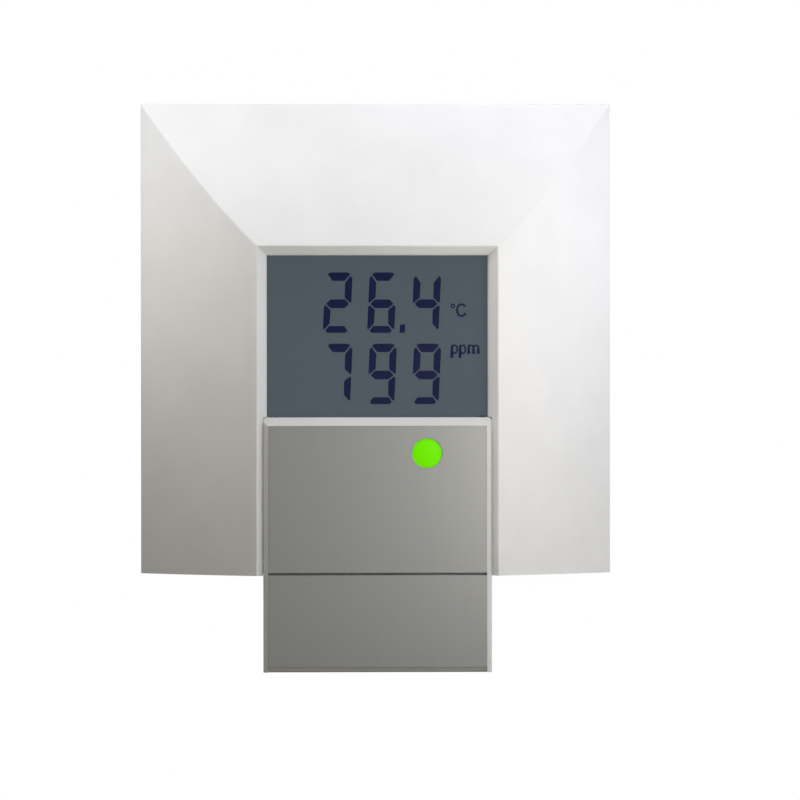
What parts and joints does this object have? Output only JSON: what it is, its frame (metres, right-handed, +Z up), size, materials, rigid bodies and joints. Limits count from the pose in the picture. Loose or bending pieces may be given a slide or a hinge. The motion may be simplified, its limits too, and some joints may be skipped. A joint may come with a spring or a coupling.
{
  "type": "air quality monitor",
  "caption": "Square wall monitor with sloping frame faces, recessed display, indicator, sensor nose with sliding service cover, and a front that pulls off its wired wall plate.",
  "frame": {"origin": "centre of the square body on the wall plane, on the back of the wall plate", "axes": "+X to the right for someone facing the monitor, +Y into the wall, +Z up; the front faces -Y"},
  "size_m": [0.085, 0.0265, 0.1022],
  "materials": {
    "white": "fine-textured warm white moulded plastic, satin",
    "wall_plate_white": "fine-textured warm white moulded plastic",
    "face_grey": "satin metallic grey paint with a very fine vertical grain",
    "back_white": "fine-textured warm white moulded plastic",
    "window": "clear flat window, slightly satin",
    "lcd": "grey-blue liquid crystal cell with dark blue segments",
    "indicator": "translucent lens lit bright green",
    "circuit_board": "green solder mask over glass fibre board",
    "black_plastic": "black moulded plastic",
    "screw_steel": "zinc-plated steel",
    "can_aluminium": "drawn aluminium",
    "membrane": "white filter membrane",
    "sensor_cap_white": "white sintered filter cap",
    "terminal_green": "green moulded terminal housing",
    "switch_red": "red moulded switch body",
    "slider_white": "white slider",
    "button_red": "red push cap"
  },
  "bodies": {
    "wall_base": {"wall_plate": "wall_plate_white", "terminal_board": "circuit_board", "terminal_block": "terminal_green", "terminal_screw_1": "screw_steel", "terminal_screw_2": "screw_steel", "terminal_screw_3": "screw_steel", "terminal_screw_4": "screw_steel", "terminal_screw_5": "screw_steel", "terminal_screw_6": "screw_steel", "plug_socket": "black_plastic", "board_screw_1": "screw_steel", "board_screw_2": "screw_steel"},
    "front": {"cover_frame": "white", "module_housing": "white", "rear_cover": "back_white", "upper_face_plate": "face_grey", "display_window": "window", "lcd_cell": "lcd", "lcd_holder": "black_plastic", "lcd_contact_strip": "black_plastic", "main_board": "circuit_board", "main_board_screw_1": "screw_steel", "main_board_screw_2": "screw_steel", "main_board_screw_3": "screw_steel", "main_board_screw_4": "screw_steel", "housing_screw_1": "screw_steel", "housing_screw_2": "screw_steel", "housing_screw_3": "screw_steel", "housing_screw_4": "screw_steel", "pin_header": "black_plastic", "processor": "black_plastic", "voltage_regulator": "black_plastic", "filter_capacitor_1": "can_aluminium", "filter_capacitor_2": "can_aluminium", "co2_cell": "can_aluminium", "co2_filter": "membrane", "humidity_sensor": "black_plastic", "sensor_cap": "sensor_cap_white", "led_spacer": "black_plastic", "indicator_led": "indicator", "dip_switch_body": "switch_red", "button_base": "black_plastic"},
    "service_cover": {"service_cover": "face_grey"},
    "slider_1": {"dip_slider_1": "slider_white"},
    "slider_2": {"dip_slider_2": "slider_white"},
    "slider_3": {"dip_slider_3": "slider_white"},
    "slider_4": {"dip_slider_4": "slider_white"},
    "calibration_button": {"calibration_button": "button_red"}
  },
  "joints": [
    {"name": "front_pull", "type": "slide", "parent": "wall_base", "child": "front", "axis": [0, -1, 0], "range_m": [0, 0.03]},
    {"name": "service_cover_slide", "type": "slide", "parent": "front", "child": "service_cover", "axis": [0, 0, -1], "range_m": [0, 0.019]},
    {"name": "calibration_press", "type": "slide", "parent": "front", "child": "calibration_button", "axis": [0, 1, 0], "range_m": [0, 0.0005], "stiffness_N_per_m": 600, "springref_m": -0.0005},
    {"name": "slider_1_set", "type": "slide", "parent": "front", "child": "slider_1", "axis": [0, 0, 1], "range_m": [0, 0.0016]},
    {"name": "slider_2_set", "type": "slide", "parent": "front", "child": "slider_2", "axis": [0, 0, 1], "range_m": [0, 0.0016]},
    {"name": "slider_3_set", "type": "slide", "parent": "front", "child": "slider_3", "axis": [0, 0, 1], "range_m": [0, 0.0016]},
    {"name": "slider_4_set", "type": "slide", "parent": "front", "child": "slider_4", "axis": [0, 0, 1], "range_m": [0, 0.0016]}
  ]
}
